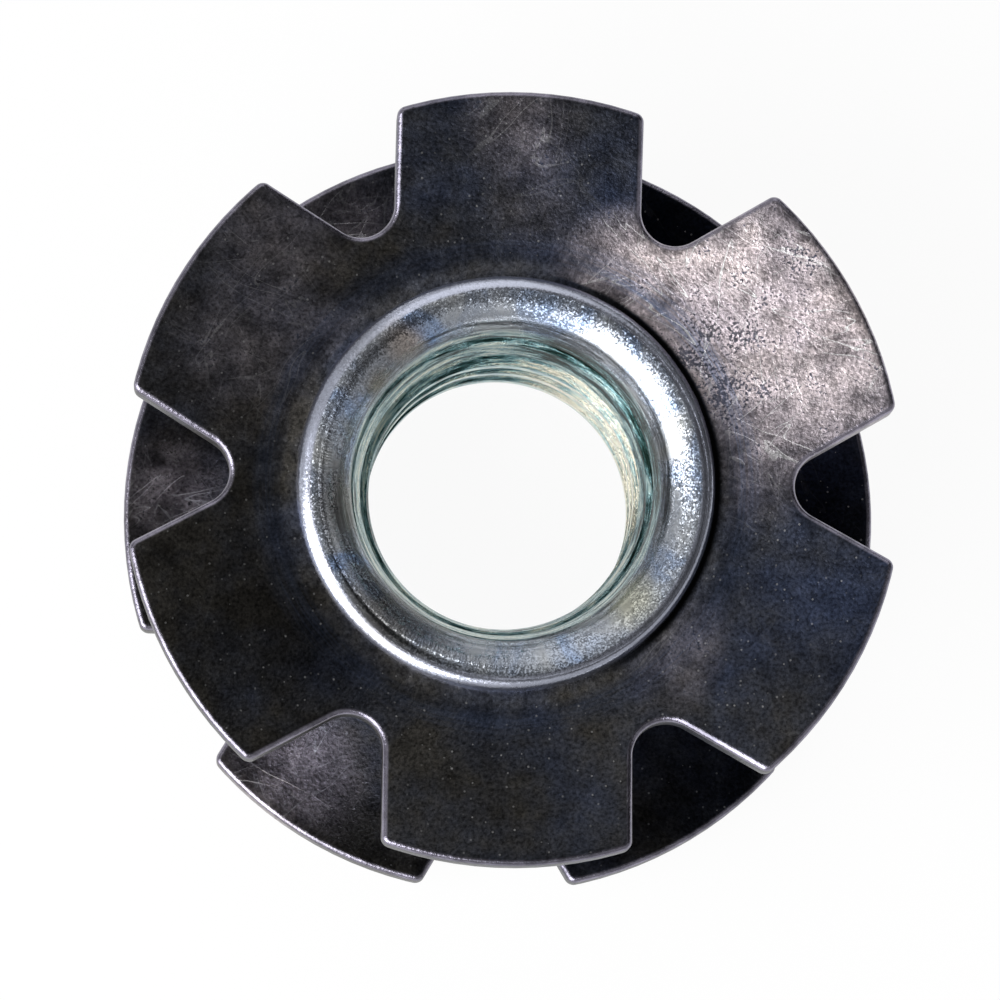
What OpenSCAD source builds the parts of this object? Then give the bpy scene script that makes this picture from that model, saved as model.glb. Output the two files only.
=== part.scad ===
// Star nut: a threaded barrel riveted through two spring steel stars.
// It is driven into the end of a round tube. The fangs of both stars bite into the tube's wall,
// and a screw turned into the barrel then pulls them tighter.
// The bore runs along Z. The stars are dished upwards, towards the open end of the tube,
// and the lower rolled lip stands on Z = 0.

/* [Bore] */
// Diameter of the bore at the crests of an M10 x 1.5 thread
bore_d = 8.5; // [6.6:0.1:9.2]
// Length of the straight bore, midway between the ends
bore_l = 4; // [2:0.1:7]
// Diameter of the throat, where the bore opens into the rolled end
throat_d = 9.7; // [9:0.1:10]

/* [Barrel] */
// Diameter of the barrel between the stars
body_d = 13.2; // [12.6:0.1:16]
// Length of the barrel between its two shoulders
body_l = 8; // [6:0.5:30]
// Chamfer at the rim of each shoulder
body_chamfer = 0.2; // [0.1:0.05:0.3]
// Diameter of the neck that passes through a star
neck_d = 11.5; // [10.8:0.1:12.3]

/* [Rolled ends] */
// Outer diameter of the rolled lip
lip_d = 13.2; // [12.9:0.1:14]
// Height of the rolled lip above the star
lip_t = 0.5; // [0.4:0.05:0.8]
// Radius that the punch leaves on the outer edge of the lip
lip_round = 0.3; // [0.1:0.05:0.4]
// Radius of the trumpet curve from the throat to the crown of the lip
flare_r = 1.25; // [0.8:0.05:1.4]

/* [Stars] */
// Diameter across the tips of the fangs
star_d = 24.5; // [22:0.5:30]
// Thickness of the spring steel
sheet_t = 1; // [0.6:0.1:1.5]
// Angle of the fangs above the flat hub
dish_angle = 12; // [4:1:20]
// Radius of the bend between hub and fangs, on the hollow side
bend_r = 6.3; // [2:0.1:10]
// Flat left round the lip and the shoulder before the bend starts
seat_margin = 0.1; // [0.05:0.05:0.5]
// Gap all round between the neck and the hole in the hub
hub_play = 0.2; // [0.05:0.05:0.3]

/* [Fangs] */
// Number of fangs on each star
fangs = 6; // [4:1:10]
// Diameter of the circle that the floors of the notches touch
root_d = 17.8; // [16:0.2:20]
// Radius of the round floor of a notch
root_r = 1.1; // [0.5:0.1:1.6]
// Radius at the two corners of a fang
corner_r = 0.3; // [0.1:0.05:1]

/* [Hidden] */
$fn = 96;

// How far a cutting shape reaches past the surface that it cuts
cut = 0.2;

barrel_l = body_l + 2 * (sheet_t + lip_t);
crown_in_r = throat_d / 2 + flare_r;
crown_out_r = lip_d / 2 - lip_round;

lower_hub_z = lip_t;
upper_hub_z = lip_t + sheet_t + body_l;

star_r = star_d / 2;
hub_hole_r = neck_d / 2 + hub_play;
flat_r = max(lip_d, body_d) / 2 + seat_margin;
bend_out_r = bend_r + sheet_t;
star_h = 2 * sheet_t + (star_r - flat_r) * tan(dish_angle);

half_step = 180 / fangs;
notch_r = root_d / 2 + root_r;
fang_half_w = notch_r * sin(half_step) - root_r;

// Half outline of the barrel's outside, radius along X and height along Y
module outside_section() {
    square([neck_d / 2, barrel_l]);
    translate([0, upper_hub_z - body_l])
        polygon([
            [0, 0],
            [body_d / 2 - body_chamfer, 0],
            [body_d / 2, body_chamfer],
            [body_d / 2, body_l - body_chamfer],
            [body_d / 2 - body_chamfer, body_l],
            [0, body_l]
        ]);
    both_ends()
        difference() {
            square([lip_d / 2, lip_t]);
            difference() {
                translate([crown_out_r, -cut])
                    square(lip_round + cut);
                translate([crown_out_r, lip_round])
                    circle(r = lip_round);
            }
        }
}

// Straight bore, a taper at each end of it, and the trumpet curve of both rolled ends
module inside_section() {
    translate([0, -cut])
        square([bore_d / 2, barrel_l + 2 * cut]);
    both_ends() {
        polygon([
            [0, flare_r],
            [throat_d / 2, flare_r],
            [bore_d / 2, (barrel_l - bore_l) / 2],
            [0, (barrel_l - bore_l) / 2]
        ]);
        difference() {
            translate([0, -cut])
                square([crown_in_r, flare_r + cut]);
            translate([crown_in_r, flare_r])
                circle(r = flare_r);
        }
    }
}

// Its children at the lower end of the barrel, and again mirrored at the upper end
module both_ends() {
    children();
    translate([0, barrel_l])
        mirror([0, 1])
            children();
}

// The space above a dished surface: flat out to the bend, then an arc, then a straight slope.
// The arc's centre is shared by both sides of the sheet, so r alone tells them apart.
module above_dish(r, top) {
    slope_l = star_d;
    translate([flat_r, bend_out_r]) {
        circle(r = r);
        polygon([
            [-flat_r, -r],
            [0, -r],
            r * [sin(dish_angle), -cos(dish_angle)],
            r * [sin(dish_angle), -cos(dish_angle)] + slope_l * [cos(dish_angle), sin(dish_angle)],
            [slope_l, top],
            [-flat_r, top]
        ]);
    }
}

// Section of the pressed sheet: flat hub, bend and sloping skirt, with its underside on Y = 0
module sheet_section() {
    intersection() {
        translate([hub_hole_r, 0])
            square([star_r - hub_hole_r, star_h]);
        difference() {
            above_dish(bend_out_r, star_h);
            above_dish(bend_r, star_h + cut);
        }
    }
}

// What is blanked away between two fangs, for the notch that opens along +X.
// Its sides run parallel to the middle lines of the fangs beside it, down to a round floor.
module notch_plan() {
    touch = [notch_r - root_r * sin(half_step), root_r * cos(half_step)];
    side_run = star_r * [cos(half_step), sin(half_step)];
    translate([notch_r, 0])
        circle(r = root_r);
    polygon([
        [touch.x, -touch.y],
        [touch.x + side_run.x, -touch.y - side_run.y],
        touch + side_run,
        touch
    ]);
}

// What is rounded off at one corner of the fang that points along +X
module corner_plan() {
    middle = [
        sqrt(pow(star_r - corner_r, 2) - pow(fang_half_w - corner_r, 2)),
        fang_half_w - corner_r
    ];
    reach = corner_r + cut;
    translate(middle)
        difference() {
            polygon([
                [0, 0],
                reach * middle / norm(middle),
                [reach, reach],
                [0, reach]
            ]);
            circle(r = corner_r);
        }
}

// One star, with the underside of its hub on Z = 0 and one fang along +Y
module star() {
    difference() {
        rotate_extrude()
            sheet_section();
        for (i = [0 : fangs - 1])
            rotate(90 + 2 * half_step * i)
                translate([0, 0, -cut])
                    linear_extrude(star_h + 2 * cut) {
                        rotate(half_step)
                            notch_plan();
                        corner_plan();
                        mirror([0, 1])
                            corner_plan();
                    }
    }
}

module barrel() {
    color("silver")
        rotate_extrude()
            difference() {
                outside_section();
                inside_section();
            }
}

module upper_star() {
    color("#2e2f33")
        translate([0, 0, upper_hub_z])
            star();
}

// The same stamping, turned so that its fangs lie under the notches of the upper one
module lower_star() {
    color("#26272b")
        translate([0, 0, lower_hub_z])
            rotate(half_step)
                star();
}

barrel();
upper_star();
lower_star();
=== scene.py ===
# %% [markdown]
# # A star nut
# A star nut is a threaded barrel with a toothed spring washer, the star, riveted on at each end.
# It is hammered into a round tube, where the fangs of both stars bite, and a screw then pulls on it.
# The CAD frame holds its three real pieces: the barrel, the upper star and the lower star.
# This script gives them the edges, the thread and the finishes that the plain solids leave out.
# The solids could be kept and only painted, but a worn edge and a thread catch the light by
# their shape. So each piece is made anew in the place of its solid, and then gets its finish.

import math

import bmesh
import bpy
from mathutils import Matrix, Vector


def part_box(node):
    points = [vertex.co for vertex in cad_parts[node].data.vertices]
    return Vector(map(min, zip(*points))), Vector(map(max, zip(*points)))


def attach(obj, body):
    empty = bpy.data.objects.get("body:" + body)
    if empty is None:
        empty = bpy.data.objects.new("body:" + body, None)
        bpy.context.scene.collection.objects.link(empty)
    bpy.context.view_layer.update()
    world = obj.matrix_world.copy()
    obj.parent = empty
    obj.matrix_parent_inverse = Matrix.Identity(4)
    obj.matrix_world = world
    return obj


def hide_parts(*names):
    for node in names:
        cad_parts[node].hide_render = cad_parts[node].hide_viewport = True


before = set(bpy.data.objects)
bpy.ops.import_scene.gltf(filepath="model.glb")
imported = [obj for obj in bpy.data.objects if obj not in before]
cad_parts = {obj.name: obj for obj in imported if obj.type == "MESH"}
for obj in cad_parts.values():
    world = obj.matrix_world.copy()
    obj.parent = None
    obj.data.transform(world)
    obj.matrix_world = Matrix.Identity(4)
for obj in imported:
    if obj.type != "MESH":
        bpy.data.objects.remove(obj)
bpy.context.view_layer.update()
print("nodes in the frame:", sorted(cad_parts))

# %% [markdown]
# ## Sizes
# Blender counts in metres, and a fastener is easier to read in millimetres.
# One value does the change of units everywhere.
# The sizes that the frame can give are read from it, so that each piece lands where its solid is.
# The sizes of the press tool, the punch and the thread come later, each with the step that uses it.

# %% Sizes that all pieces share
MM = 0.001
STAR_R = 12.25 * MM
SHEET_T = 1.0 * MM

barrel_low, barrel_high = (Vector(corner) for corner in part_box("barrel"))
upper_star_low = Vector(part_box("upper_star")[0])
lower_star_low = Vector(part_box("lower_star")[0])
barrel_l = barrel_high.z - barrel_low.z
body_r = barrel_high.x
lip_t = lower_star_low.z

print("barrel length in mm:", round(barrel_l / MM, 3), "body radius:", round(body_r / MM, 3))
print("star radius in mm:", round(STAR_R / MM, 3), "lip height:", round(lip_t / MM, 3))

# %% [markdown]
# ## The camera
# A long lens looks down the bore from high above, a little to the lower left of its axis.
# The frame has X to the right and Y up, so the camera's own up is along Y, with a slight roll.
# The lens and the distance come from the size of the rim and from how much smaller the far star
# looks. A camera can be aimed by a constraint, but a plain matrix of its three directions and
# its place leaves nothing to be solved later, and it holds the roll as well.

# %% Camera: where it stands
CAMERA_TILT = math.radians(8.43)
TILT_WAY = Vector((-0.318, -0.948, 0.0)).normalized()
CAMERA_DISTANCE = 199 * MM

upper_hub = Vector((0.0, 0.0, barrel_l - lip_t))
to_camera = TILT_WAY * math.sin(CAMERA_TILT) + Vector((0, 0, 1)) * math.cos(CAMERA_TILT)
camera_place = upper_hub + to_camera * CAMERA_DISTANCE
print("camera at, in mm:", [round(v / MM, 1) for v in camera_place])

# %% Camera: lens and aim
FRAME_PX = 1000
SENSOR_MM = 36.0
PX_PER_MM = 31.79
AXIS_PX = Vector((5.8, 16.55, 0.0))
CAMERA_ROLL = math.radians(1.1)

camera_data = bpy.data.cameras.new("camera")
camera_data.sensor_width = SENSOR_MM
camera_data.lens = PX_PER_MM * (CAMERA_DISTANCE / MM) * SENSOR_MM / FRAME_PX
camera_data.clip_start = 1 * MM
camera = bpy.data.objects.new("camera", camera_data)
bpy.context.scene.collection.objects.link(camera)

aim = upper_hub - AXIS_PX / PX_PER_MM * MM
look = (aim - camera_place).normalized()
head_up = Vector((-math.sin(CAMERA_ROLL), math.cos(CAMERA_ROLL), 0))
right = look.cross(head_up).normalized()
up = right.cross(look)
turned = Matrix((right, up, -look)).transposed().to_4x4()
camera.matrix_world = Matrix.Translation(camera_place) @ turned
bpy.context.scene.camera = camera
print("lens in mm:", round(camera_data.lens, 1))

# %% [markdown]
# ## Working in edit mode from code
# An operator acts on whatever is selected, and the frame arrives selected.
# So every step starts by dropping the selection and picks its faces or edges by their place.
# A test by place says what is meant, where a list of numbers would break with the next change.
# A modifier is applied as soon as it is added, so that the next step finds real points.

# %% Helpers for selecting
KIND_MODES = {"verts": "VERT", "edges": "EDGE", "faces": "FACE"}


def drop_selection():
    bpy.ops.object.select_all(action="DESELECT")


def work_on(piece):
    drop_selection()
    piece.select_set(True)
    bpy.context.view_layer.objects.active = piece


def pick(kind, test):
    """In edit mode, selects the vertices, edges or faces for which test says yes."""
    mesh = bpy.context.object.data
    bpy.ops.mesh.select_mode(type=KIND_MODES[kind])
    bpy.ops.mesh.select_all(action="DESELECT")
    shape = bmesh.from_edit_mesh(mesh)
    chosen = [part for part in getattr(shape, kind) if test(part)]
    for part in chosen:
        part.select = True
    shape.select_flush_mode()
    bmesh.update_edit_mesh(mesh)
    return len(chosen)


# %% Helpers for finishing a step
def apply_modifier(piece, kind, **settings):
    work_on(piece)
    modifier = piece.modifiers.new(kind.lower(), kind)
    for name, value in settings.items():
        setattr(modifier, name, value)
    bpy.ops.object.modifier_apply(modifier=modifier.name)


def settle(piece, name):
    """Puts the piece's place into its mesh and names it."""
    work_on(piece)
    bpy.ops.object.transform_apply(location=True, rotation=True, scale=True)
    piece.name = name
    piece.data.name = name


def copy_of(piece):
    """A copy with its own mesh."""
    twin = piece.copy()
    twin.data = piece.data.copy()
    bpy.context.scene.collection.objects.link(twin)
    return twin


def report(piece):
    print(piece.name, "faces:", len(piece.data.polygons), "size in mm:",
          [round(v / MM, 2) for v in piece.dimensions])


# %% [markdown]
# ## The star
# The real star starts as a flat blank, stamped from spring steel strip: a disc with six notches.
# The punch drags the upper edge down a little, which leaves it rounded, and breaks out below
# with a sharp edge. The blank is then pressed into a shallow dish and hardened.
# The model goes the same way: stamp the flat blank, round its upper edge, then press it.
# Cutting a finished dish would give ragged edges, because the cut would run across the slope.

# %% Blank disc
RIM_SIDES = 120
MID_SHEET = SHEET_T / 2

drop_selection()
bpy.ops.mesh.primitive_cylinder_add(
    vertices=RIM_SIDES, radius=STAR_R, depth=SHEET_T,
    location=(0, 0, MID_SHEET), rotation=(0, 0, math.pi / RIM_SIDES))
star = bpy.context.object
settle(star, "blank")
report(star)

# %% [markdown]
# One notch punch is a pin for the round floor of the notch, joined to a wide far end.
# The sides of the notch run parallel to the middle lines of the fangs beside it.
# A convex hull round the pin and the far end draws both sides, each touching the pin.
# The notch could be drawn point by point, but the hull finds the two touching lines by itself.

# %% Notch punch
FANGS = 6
NOTCH_FLOOR_R = 8.9 * MM
ROOT_R = 1.1 * MM
PIN_SIDES = 96
PUNCH_H = 3 * SHEET_T
END_T = 0.0001 * MM

half_step = math.pi / FANGS
notch_r = NOTCH_FLOOR_R + ROOT_R
punch_far = STAR_R + SHEET_T
punch_far_w = 2 * ((punch_far - notch_r) * math.tan(half_step) + ROOT_R / math.cos(half_step))

drop_selection()
bpy.ops.mesh.primitive_cylinder_add(
    vertices=PIN_SIDES, radius=ROOT_R, depth=PUNCH_H, location=(notch_r, 0, MID_SHEET))
punch = bpy.context.object
settle(punch, "punch")
bpy.ops.object.mode_set(mode="EDIT")
bpy.ops.mesh.primitive_cube_add(size=1, location=(punch_far, 0, MID_SHEET))
bpy.ops.transform.resize(
    value=(END_T, punch_far_w, PUNCH_H), center_override=(punch_far, 0, MID_SHEET))
bpy.ops.mesh.select_all(action="SELECT")
bpy.ops.mesh.convex_hull()
bpy.ops.object.mode_set(mode="OBJECT")
report(punch)

# %% [markdown]
# A real press stamps the hole for the neck and all six notches in one stroke.
# So the punch is copied round the axis by a sixth of a circle each, and the copies are joined
# with a cylinder for the hole to one tool. Six cuts one after another would do as well, but
# each would cut a mesh that is a little larger than the one before.

# %% Punch ring with the hole for the neck
HUB_HOLE_R = 5.95 * MM
HOLE_SIDES = 192

punches = []
for i in range(FANGS):
    twin = copy_of(punch)
    twin.rotation_euler.z = math.pi / 2 + (2 * i + 1) * half_step
    punches.append(twin)
bpy.data.objects.remove(punch)

drop_selection()
bpy.ops.mesh.primitive_cylinder_add(
    vertices=HOLE_SIDES, radius=HUB_HOLE_R, depth=PUNCH_H, location=(0, 0, MID_SHEET))
tool = bpy.context.object
for twin in punches:
    twin.select_set(True)
bpy.ops.object.join()
settle(tool, "star_tool")
report(tool)

# %% [markdown]
# The press's stroke is a Boolean modifier that takes the tool out of the blank.
# Its exact solver keeps the walls upright and the roots round. The tool is thicker than the
# blank on both sides, because faces that lie in one plane make a Boolean guess.

# %% Stamp the blank
apply_modifier(star, "BOOLEAN", operation="DIFFERENCE", solver="EXACT", object=tool)
bpy.data.objects.remove(tool)
report(star)

# %% [markdown]
# The corners of the fangs are rounded by the punch too.
# A bevel on the upright edge of each corner does that, and a second bevel rolls the upper rim.
# The lower rim keeps only a hair of a bevel, enough to catch a thin line of light.
# A Bevel modifier would round every edge alike, and here each of the three gets its own size.

# %% Tests for the edges of the blank
SHARP = 1.0
TOUCH = 0.01 * MM
AT_RIM = 0.99 * STAR_R
PAST_HOLE = 1.1 * HUB_HOLE_R


def flat_radius(vertex):
    return math.hypot(vertex.co.x, vertex.co.y)


def is_fang_corner(edge):
    a, b = edge.verts
    upright = abs(a.co.z - b.co.z) > MID_SHEET
    return upright and flat_radius(a) > AT_RIM and edge.calc_face_angle(0) > SHARP


def is_rim_edge(height):
    """A test for the sharp edges outside the hole at one height."""
    def test(edge):
        level = all(abs(v.co.z - height) < TOUCH for v in edge.verts)
        outside = min(flat_radius(v) for v in edge.verts) > PAST_HOLE
        return level and outside and edge.calc_face_angle(0) > SHARP
    return test


# %% Round the fangs
CORNER_R = 0.3 * MM
ROLL = 0.19 * MM
BREAK_EDGE = 0.03 * MM

# The bevel's width is measured across the corner, as a chord of its arc.
corner_turn = math.pi / 2 - math.asin((notch_r * math.sin(half_step) - ROOT_R) / STAR_R)
corner_w = 2 * CORNER_R * math.sin(corner_turn / 2)

work_on(star)
bpy.ops.object.mode_set(mode="EDIT")
for name, test, width, width_type, segments in (
        ("corners of the fangs", is_fang_corner, corner_w, "WIDTH", 6),
        ("upper rim edges", is_rim_edge(SHEET_T), ROLL, "OFFSET", 4),
        ("lower rim edges", is_rim_edge(0), BREAK_EDGE, "OFFSET", 1)):
    print(name + ":", pick("edges", test))
    bpy.ops.mesh.bevel(offset_type=width_type, offset=width, segments=segments,
                       profile=0.5, clamp_overlap=False)
bpy.ops.object.mode_set(mode="OBJECT")
report(star)

# %% [markdown]
# A flat face can't bend until it has points inside it.
# Straight cuts across the blank, along X and then along Y, give it a fine grid of them.
# Subdividing would do it too, but the stamped faces have many corners, and a bisect cuts
# through faces of any shape and leaves even squares.

# %% Score the blank
GRID = 0.4 * MM

bpy.ops.object.mode_set(mode="EDIT")
lines = int(STAR_R / GRID)
for direction in (Vector((1, 0, 0)), Vector((0, 1, 0))):
    for i in range(-lines, lines + 1):
        bpy.ops.mesh.select_all(action="SELECT")
        bpy.ops.mesh.bisect(plane_co=direction * i * GRID, plane_no=direction)
bpy.ops.object.mode_set(mode="OBJECT")
report(star)

# %% [markdown]
# Pressing lifts every point by the rise of the dish at its radius: none on the flat hub,
# an arc through the bend, then a straight slope out to the rim.
# Both sides of the sheet share the centre of the bend, so the sheet keeps its thickness.
# The same pass marks the points on the rolled edge, where the punch burnished the cut.
# The steel's material reads the mark as an attribute, and makes the edge brighter and smoother.

# %% Press the dish
FLAT_R = 6.85 * MM
BEND_R = 6.3 * MM
DISH_ANGLE = math.radians(12)
# The rolled edge reaches from just under the upper face to nearly the roll's own depth.
ROLL_TOP = 0.02
ROLL_DEPTH = 0.95


def dish_height(radius, side_r):
    """Height of one side of the sheet at a radius, where side_r is that side's bend radius."""
    centre_z = BEND_R + SHEET_T
    out = max(radius - FLAT_R, 0)
    if out < side_r * math.sin(DISH_ANGLE):
        return centre_z - math.sqrt(side_r ** 2 - out ** 2)
    return centre_z - side_r / math.cos(DISH_ANGLE) + out * math.tan(DISH_ANGLE)


roll_low, roll_high = (1 - depth * ROLL / SHEET_T for depth in (ROLL_DEPTH, ROLL_TOP))
burnished = star.data.attributes.new("burnished", "FLOAT", "POINT")
for vertex in star.data.vertices:
    radius = flat_radius(vertex)
    share = vertex.co.z / SHEET_T
    under = dish_height(radius, BEND_R + SHEET_T)
    over = dish_height(radius, BEND_R)
    vertex.co.z = under + (over - under) * share
    burnished.data[vertex.index].value = float(radius > PAST_HOLE and roll_low < share < roll_high)
star.data.update()
print("points on the rolled edge:", sum(point.value > 0 for point in burnished.data))
report(star)

# %% [markdown]
# Both stars come out of the same press, so the second is a copy of the first.
# It is turned by half a fang, so that its fangs stand in the notches of the other. The holes
# leave a little play round the necks, and the riveting caught each star a little off centre.
# The stars stay round in the bends and sharp at the edges: shading by angle does the one, and
# weighted normals keep the large faces flat right up to a bevel.

# %% Both stars in place
UPPER_PLAY = Vector((0.20, 0.14)) * MM
LOWER_PLAY = Vector((0.16, 0.04)) * MM
LOWER_SLIP = math.radians(0.6)
STAR_SOFT_DEGREES = 35


def smooth(piece, degrees):
    work_on(piece)
    bpy.ops.object.shade_smooth_by_angle(angle=math.radians(degrees))
    apply_modifier(piece, "WEIGHTED_NORMAL", keep_sharp=True, mode="FACE_AREA")


smooth(star, STAR_SOFT_DEGREES)
lower_star = copy_of(star)
for piece, node, play, low, turn in (
        (star, "upper_star", UPPER_PLAY, upper_star_low.z, 0),
        (lower_star, "lower_star", LOWER_PLAY, lower_star_low.z, half_step + LOWER_SLIP)):
    piece.location = (*play, low)
    piece.rotation_euler.z = turn
    settle(piece, node + "_pressed")
    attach(piece, "root")
    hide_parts(node)
    report(piece)

# %% [markdown]
# ## The barrel
# The real barrel is turned on a lathe from bar, drilled and tapped.
# After both stars are slipped on, a punch rolls each neck outwards over its star.
# A lathe is the spin tool: half the outline is drawn point by point and spun round the axis.
# The rolled end has two parts: the trumpet that the punch pressed, and a round bead outside it.
# They meet in a fine crease, where the punch's face ended.

# %% Rolled end of the outline
THROAT_R = 4.85 * MM
FLARE_R = 1.25 * MM
LIP_R = 6.6 * MM
LIP_EDGE_R = 0.4 * MM
CREASE_R = 6.1 * MM
ARC_STEPS = 18


def arc(centre, radius, start, end, steps):
    """Points along an arc in the plane of the outline, with angles in degrees."""
    angles = [math.radians(start + (end - start) * i / steps) for i in range(steps + 1)]
    return [(centre[0] + radius * math.cos(a), centre[1] + radius * math.sin(a)) for a in angles]


half_l = barrel_l / 2
bead_middle = (LIP_R - LIP_EDGE_R, half_l - LIP_EDGE_R)
bead_start = math.degrees(math.acos((CREASE_R - bead_middle[0]) / LIP_EDGE_R))
crease_z = bead_middle[1] + LIP_EDGE_R * math.sin(math.radians(bead_start))
flare_end = math.degrees(math.acos((CREASE_R - THROAT_R - FLARE_R) / FLARE_R))
flare_middle = (THROAT_R + FLARE_R, crease_z - FLARE_R * math.sin(math.radians(flare_end)))
rolled_end = arc(flare_middle, FLARE_R, 180, flare_end, ARC_STEPS)
rolled_end += arc(bead_middle, LIP_EDGE_R, bead_start, 0, ARC_STEPS)[1:]
print("crease below the top in mm:", round((half_l - crease_z) / MM, 3))

# %% Outline of the barrel
BORE_R = 4.25 * MM
BORE_L = 4.0 * MM
NECK_R = 5.75 * MM
BODY_CHAMFER = 0.2 * MM

under_lip = half_l - lip_t
shoulder = under_lip - SHEET_T
upper_half = [(BORE_R, 0), (BORE_R, BORE_L / 2)] + rolled_end + [
    (LIP_R, under_lip),
    (NECK_R, under_lip),
    (NECK_R, shoulder),
    (body_r - BODY_CHAMFER, shoulder),
    (body_r, shoulder - BODY_CHAMFER),
    (body_r, 0),
]
lower_half = [(r, -z) for r, z in reversed(upper_half[1:-1])]
outline = [(r, z + half_l) for r, z in upper_half + lower_half]
print("points in the outline:", len(outline))

# %% [markdown]
# An outline needs a first point, and no primitive is a single point. So a small plane is added
# and merged to its middle, and that point is extruded from place to place.
# A curve could hold the outline as well, but it would have to be turned into a mesh before the
# spin, and the extruded points already lie exactly where the list says.

# %% Draw an outline as a chain of edges
MERGE = 0.001 * MM


def draw_outline(points, name, closed=True):
    """Starts from a plane merged to a single point, and extrudes that point along the outline."""
    path = points + points[:1] if closed else points
    drop_selection()
    bpy.ops.mesh.primitive_plane_add(size=1 * MM, location=(points[0][0], 0, points[0][1]))
    piece = bpy.context.object
    settle(piece, name)
    bpy.ops.object.mode_set(mode="EDIT")
    bpy.ops.mesh.select_mode(type="VERT")
    bpy.ops.mesh.select_all(action="SELECT")
    bpy.ops.mesh.merge(type="CENTER")
    for before, after in zip(path, path[1:]):
        step = (after[0] - before[0], 0, after[1] - before[1])
        bpy.ops.mesh.extrude_region_move(TRANSFORM_OT_translate={"value": step})
    bpy.ops.mesh.select_all(action="SELECT")
    bpy.ops.mesh.remove_doubles(threshold=MERGE)
    bpy.ops.object.mode_set(mode="OBJECT")
    return piece


barrel = draw_outline(outline, "barrel_threaded")
print("points drawn for the barrel:", len(barrel.data.vertices))

# %% [markdown]
# On the lathe the bar turns and the tool's outline becomes a solid of revolution.
# The spin tool does the same: it repeats the outline round the axis and joins the copies.
# After a full turn the last copy lies on the first, so the doubles are merged, and then the
# faces are turned outwards, because a spin can leave a shape inside out.

# %% Spin the barrel
LATHE_STEPS = 192


def lathe(piece, steps):
    """Spins an outline round the bore's axis and closes the seam."""
    work_on(piece)
    bpy.ops.object.mode_set(mode="EDIT")
    bpy.ops.mesh.select_all(action="SELECT")
    bpy.ops.mesh.spin(steps=steps, angle=2 * math.pi, center=(0, 0, 0), axis=(0, 0, 1))
    bpy.ops.mesh.select_all(action="SELECT")
    bpy.ops.mesh.remove_doubles(threshold=MERGE)
    bpy.ops.mesh.normals_make_consistent(inside=False)
    bpy.ops.object.mode_set(mode="OBJECT")


lathe(barrel, LATHE_STEPS)
report(barrel)

# %% [markdown]
# The punch came down a little off the axis, so the crease isn't centred in the lip: the bead
# is narrow on one side and wide on the other. All points of the upper funnel slide that way,
# by the full amount at the crease and by nothing at the throat and at the lip's outer edge.
# An outline can only give what is the same all round, so this is done after the spin.

# %% Off-centre punch
PUNCH_OFF = 0.25 * MM
PUNCH_WAY = math.radians(-20)

punch_slide = Vector((math.cos(PUNCH_WAY), math.sin(PUNCH_WAY), 0)) * PUNCH_OFF
slid = 0
for vertex in barrel.data.vertices:
    out = flat_radius(vertex)
    if vertex.co.z < barrel_l - FLARE_R - lip_t or not THROAT_R < out < LIP_R:
        continue
    if vertex.co.z < barrel_l - lip_t and out > CREASE_R:
        continue
    share = min((out - THROAT_R) / (CREASE_R - THROAT_R), (LIP_R - out) / (LIP_R - CREASE_R))
    vertex.co += punch_slide * share
    slid += 1
barrel.data.update()
print("points that the punch moved:", slid)

# %% [markdown]
# The thread is cut as a tap cuts it. The tap here is one ridge with the section of an M10 x 1.5
# groove, wound up the axis by the Screw modifier and closed at both ends.
# It is longer than the barrel, so it runs out through the flared ends and leaves the same
# half-formed turns there that a real tap leaves. A bump in the material would be cheaper, but
# the turns show their real outline against the light at the far end of the bore.

# %% Tap: winding the ridge
PITCH = 1.5 * MM
THREAD_R = 5.0 * MM
TAP_CORE_R = 3.95 * MM
GROOVE_FLOOR_W = PITCH / 8
FLANK = math.radians(30)
TURN_STEPS = 120

turns = math.ceil(barrel_l / PITCH) + 2
tap_start = -PITCH
half_floor = GROOVE_FLOOR_W / 2
half_core = half_floor + (THREAD_R - TAP_CORE_R) * math.tan(FLANK)
tap_section = [(TAP_CORE_R, -half_core), (THREAD_R, -half_floor),
               (THREAD_R, half_floor), (TAP_CORE_R, half_core)]
tap = draw_outline([(r, tap_start + z) for r, z in tap_section], "tap")
apply_modifier(tap, "SCREW", axis="Z", screw_offset=PITCH, iterations=turns,
               steps=TURN_STEPS, render_steps=TURN_STEPS, use_smooth_shade=False)
report(tap)

# %% Tap: closing both ends
bpy.ops.object.mode_set(mode="EDIT")
for end in (tap_start, tap_start + turns * PITCH):
    edges = pick("edges", lambda edge: edge.is_boundary
                 and all(abs(v.co.z - end) < PITCH / 2 for v in edge.verts))
    bpy.ops.mesh.edge_face_add()
    print("edges of the open end:", edges)
bpy.ops.mesh.select_all(action="SELECT")
bpy.ops.mesh.normals_make_consistent(inside=False)
bpy.ops.object.mode_set(mode="OBJECT")

# %% [markdown]
# The tap now cuts the bore with a Boolean, and all turns of the groove come at once.
# Where the bore widens to the throat, the ridge no longer reaches the metal, and the groove
# fades out by itself as it does on the real nut.

# %% Cut the thread
BARREL_SOFT_DEGREES = 40

apply_modifier(barrel, "BOOLEAN", operation="DIFFERENCE", solver="EXACT", object=tap)
bpy.data.objects.remove(tap)
smooth(barrel, BARREL_SOFT_DEGREES)
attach(barrel, "root")
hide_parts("barrel")
report(barrel)

# %% [markdown]
# ## Materials
# Both finishes are built from nodes, and all patterns are worked out from the place on the part.
# An image texture would have to be wrapped round the pieces, with seams and a fixed sharpness.
# Colours are written as the hex values that a colour picker shows. They are made for the eye,
# and a shader reckons with amounts of light, so one function turns the one into the other.

# %% Colour and node helpers
def linear(hex_colour):
    """Turns an sRGB hex colour into the linear values that a shader expects."""
    channels = [int(hex_colour[i:i + 2], 16) / 255 for i in (1, 3, 5)]
    flat = [c / 12.92 if c <= 0.04045 else ((c + 0.055) / 1.055) ** 2.4 for c in channels]
    return (*flat, 1.0)


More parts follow.
